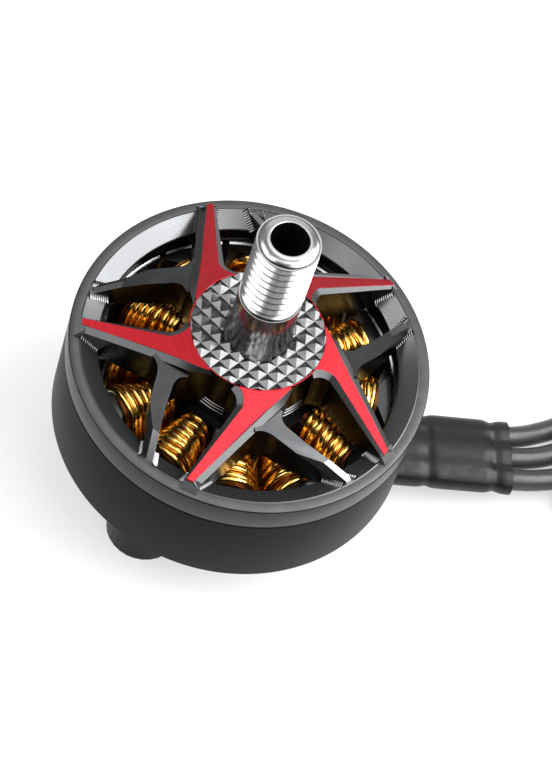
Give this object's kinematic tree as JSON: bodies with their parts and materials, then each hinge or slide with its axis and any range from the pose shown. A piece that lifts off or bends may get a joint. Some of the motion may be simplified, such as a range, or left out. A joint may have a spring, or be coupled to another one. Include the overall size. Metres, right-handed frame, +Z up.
{
  "type": "brushless outrunner motor",
  "caption": "Brushless outrunner motor for a multirotor: spinning bell with spoked red and grey cap, hollow threaded propeller shaft, wound stator, cross-shaped base and three-wire lead.",
  "frame": {"origin": "on the spin axis, at the mounting face under the base", "axes": "+Z up the propeller shaft, +X to the side that the leads leave from, midway between two mounting lobes"},
  "size_m": [0.071, 0.032, 0.0322],
  "materials": {
    "cap": "dark grey satin anodising",
    "arm_red": "red satin anodising over fine turned lines",
    "seat_knurl": "bare machined pyramid knurl",
    "ring_black": "satin black coating",
    "shaft_steel": "polished",
    "magnet_nickel": "nickel plated",
    "core_epoxy": "gloss black epoxy over laminations",
    "copper_enamel": "clear amber enamel over copper",
    "base_anodised": "satin black anodising",
    "bearing_steel": "ground and polished",
    "screw_black": "black oxide",
    "shim_brass": "machined",
    "sleeve_shrink": "satin heat-shrink tube",
    "lead_silicone": "silicone rubber sheath"
  },
  "bodies": {
    "stator": {"base": "base_anodised", "stator_core": "core_epoxy", "coil_01": "copper_enamel", "coil_02": "copper_enamel", "coil_03": "copper_enamel", "coil_04": "copper_enamel", "coil_05": "copper_enamel", "coil_06": "copper_enamel", "coil_07": "copper_enamel", "coil_08": "copper_enamel", "coil_09": "copper_enamel", "coil_10": "copper_enamel", "coil_11": "copper_enamel", "coil_12": "copper_enamel", "lower_bearing_outer": "bearing_steel", "upper_bearing_outer": "bearing_steel", "lead_sleeve": "sleeve_shrink", "wire_1": "lead_silicone", "wire_2": "lead_silicone", "wire_3": "lead_silicone", "lead_coil": "lead_silicone"},
    "rotor": {"bell_cap": "cap", "flux_ring": "ring_black", "shaft": "shaft_steel", "shaft_screw": "screw_black", "screw_washer": "bearing_steel", "bell_shim": "shim_brass", "magnet_01": "magnet_nickel", "magnet_02": "magnet_nickel", "magnet_03": "magnet_nickel", "magnet_04": "magnet_nickel", "magnet_05": "magnet_nickel", "magnet_06": "magnet_nickel", "magnet_07": "magnet_nickel", "magnet_08": "magnet_nickel", "magnet_09": "magnet_nickel", "magnet_10": "magnet_nickel", "magnet_11": "magnet_nickel", "magnet_12": "magnet_nickel", "magnet_13": "magnet_nickel", "magnet_14": "magnet_nickel", "lower_bearing_inner": "bearing_steel", "upper_bearing_inner": "bearing_steel"},
    "lower_cage": {"lower_bearing_balls": "bearing_steel"},
    "upper_cage": {"upper_bearing_balls": "bearing_steel"}
  },
  "joints": [
    {"name": "rotor_spin", "type": "hinge", "parent": "stator", "child": "rotor", "pos_m": [0, 0, 0.0122], "axis": [0, 0, 1], "continuous": true},
    {"name": "lower_cage_spin", "type": "hinge", "parent": "stator", "child": "lower_cage", "pos_m": [0, 0, 0.0036], "axis": [0, 0, 1], "continuous": true},
    {"name": "upper_cage_spin", "type": "hinge", "parent": "stator", "child": "upper_cage", "pos_m": [0, 0, 0.0122], "axis": [0, 0, 1], "continuous": true}
  ],
  "couplings": [
    {"joint": "lower_cage_spin", "follows": "rotor_spin", "ratio": 0.4077},
    {"joint": "upper_cage_spin", "follows": "rotor_spin", "ratio": 0.4077}
  ]
}
